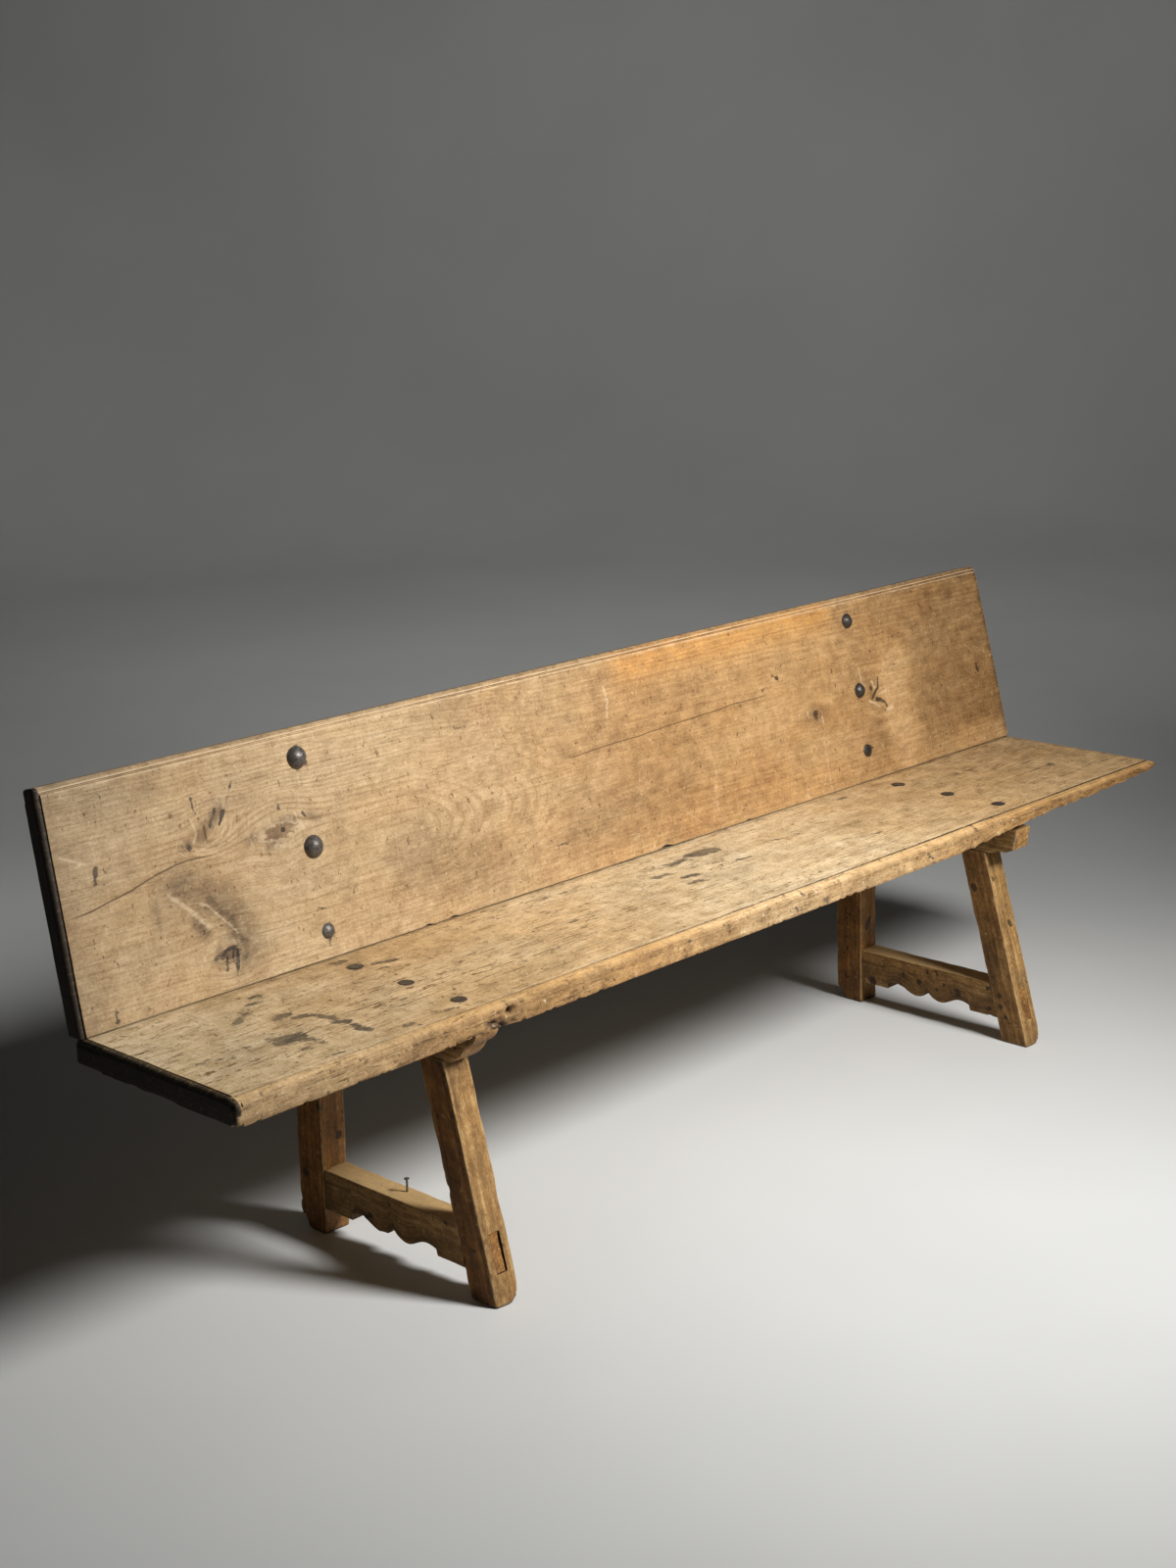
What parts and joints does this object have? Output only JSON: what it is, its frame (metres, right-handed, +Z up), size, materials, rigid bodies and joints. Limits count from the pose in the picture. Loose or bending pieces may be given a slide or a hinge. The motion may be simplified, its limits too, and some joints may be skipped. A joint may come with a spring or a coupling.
{
  "type": "plank bench with a back",
  "caption": "Long rustic wooden bench: a plank seat and a leaning plank back on trestle frames with raked front legs, scalloped stretchers and forged nails.",
  "frame": {"origin": "on the floor, under the middle of the bench's outline", "axes": "+X along the bench to its right as seen from the front, -Y towards the front, +Z up"},
  "size_m": [2.28, 0.5012, 0.8],
  "materials": {
    "seat_wood": "worn, dry, unvarnished pine with dark stains",
    "back_wood": "old waxed pine, honey brown with darker patches",
    "frame_wood": "worn brown pine with pale rubbed arrises",
    "peg_wood": "dark end grain of hardwood pegs",
    "forged_iron": "hand forged, dark, slightly rusted"
  },
  "bodies": {
    "root": {"seat_plank": "seat_wood", "back_plank": "back_wood", "left_front_leg": "frame_wood", "left_rear_post": "frame_wood", "left_seat_batten": "frame_wood", "left_stretcher": "frame_wood", "left_stretcher_pegs": "peg_wood", "left_batten_pegs": "peg_wood", "left_dome_nails": "forged_iron", "left_small_back_nail": "forged_iron", "left_seat_nails": "forged_iron", "right_front_leg": "frame_wood", "right_rear_post": "frame_wood", "right_seat_batten": "frame_wood", "right_stretcher": "frame_wood", "right_stretcher_pegs": "peg_wood", "right_batten_pegs": "peg_wood", "right_dome_nails": "forged_iron", "right_small_back_nail": "forged_iron", "right_seat_nails": "forged_iron", "stretcher_loose_nail": "forged_iron"}
  },
  "joints": []
}
